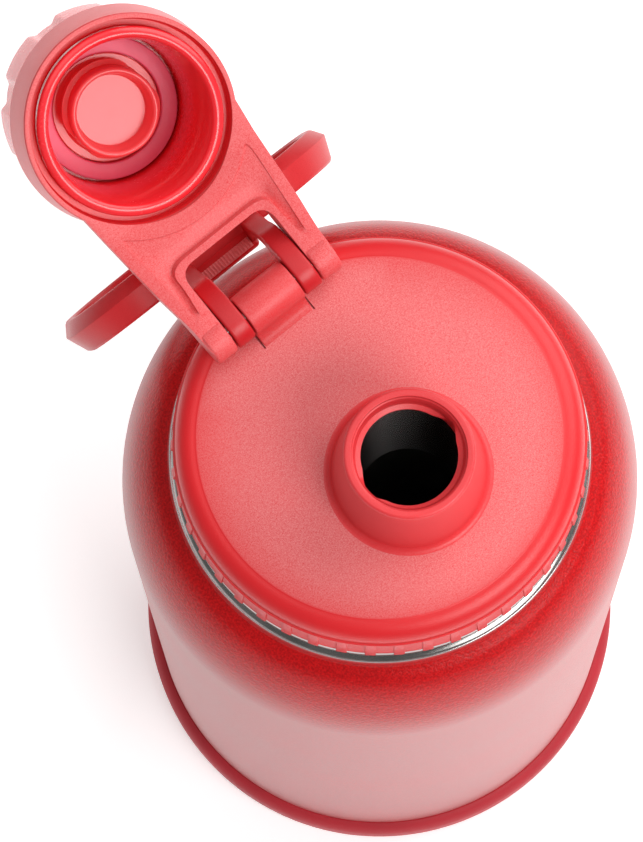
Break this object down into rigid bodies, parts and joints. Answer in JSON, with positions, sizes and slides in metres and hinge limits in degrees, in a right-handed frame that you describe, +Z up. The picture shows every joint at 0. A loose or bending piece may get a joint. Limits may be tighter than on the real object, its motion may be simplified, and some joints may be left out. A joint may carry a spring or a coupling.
{
  "type": "insulated water bottle",
  "caption": "Red insulated steel bottle with a screw lid, pour spout, hinged twist cap and swinging carry handle.",
  "frame": {"origin": "centre of the base, on the bottle's axis, on the surface that it stands on", "axes": "+Z up along the bottle's axis, +Y towards the lid's hinge, +X along the hinge pin; the cap arm stands fully open"},
  "size_m": [0.0956, 0.1389, 0.2454],
  "materials": {
    "powder_coat": "satin",
    "bare_steel": "satin",
    "boot_rubber": "matte",
    "lid_plastic": "textured",
    "cap_plastic": "gloss",
    "silicone": "satin",
    "foam": "matte",
    "glass_seal": "gloss"
  },
  "bodies": {
    "bottle": {"outer_shell": "powder_coat", "base_disc": "bare_steel", "inner_liner": "bare_steel", "liner_base": "bare_steel", "getter": "bare_steel", "vacuum_seal": "glass_seal", "base_boot": "boot_rubber"},
    "lid_ring": {"lid_seal": "silicone"},
    "lid": {"lid_shell": "lid_plastic", "lid_core": "cap_plastic", "pour_spout": "lid_plastic", "lid_foam": "foam", "hinge_pin": "bare_steel"},
    "arm": {"hinge_arm": "lid_plastic"},
    "cap_washer": {"cap_gasket": "silicone"},
    "cap": {"cap_shell": "cap_plastic", "cap_plug": "cap_plastic"},
    "handle": {"carry_handle": "lid_plastic", "handle_pad": "silicone"}
  },
  "joints": [
    {"name": "lid_lift", "type": "slide", "parent": "bottle", "child": "lid_ring", "axis": [0, 0, 1], "range_m": [0, 0.012]},
    {"name": "lid_turn", "type": "hinge", "parent": "lid_ring", "child": "lid", "pos_m": [0, 0, 0.209], "axis": [0, 0, 1], "range_deg": [0, 1080]},
    {"name": "arm_hinge", "type": "hinge", "parent": "lid", "child": "arm", "pos_m": [0, 0.0298, 0.2251], "axis": [1, 0, 0], "range_deg": [0, 154]},
    {"name": "cap_travel", "type": "slide", "parent": "arm", "child": "cap_washer", "axis": [0, -0.4384, 0.8988], "range_m": [0, 0.007]},
    {"name": "cap_turn", "type": "hinge", "parent": "cap_washer", "child": "cap", "pos_m": [0, 0.06346, 0.24152], "axis": [0, -0.4384, 0.8988], "range_deg": [0, 360]},
    {"name": "handle_swing", "type": "hinge", "parent": "lid", "child": "handle", "pos_m": [0, 0.0298, 0.2251], "axis": [1, 0, 0], "range_deg": [0, 20]}
  ],
  "couplings": [
    {"joint": "lid_lift", "follows": "lid_turn", "m_per_rad": 0.00063662},
    {"joint": "cap_travel", "follows": "cap_turn", "m_per_rad": 0.0011141}
  ]
}
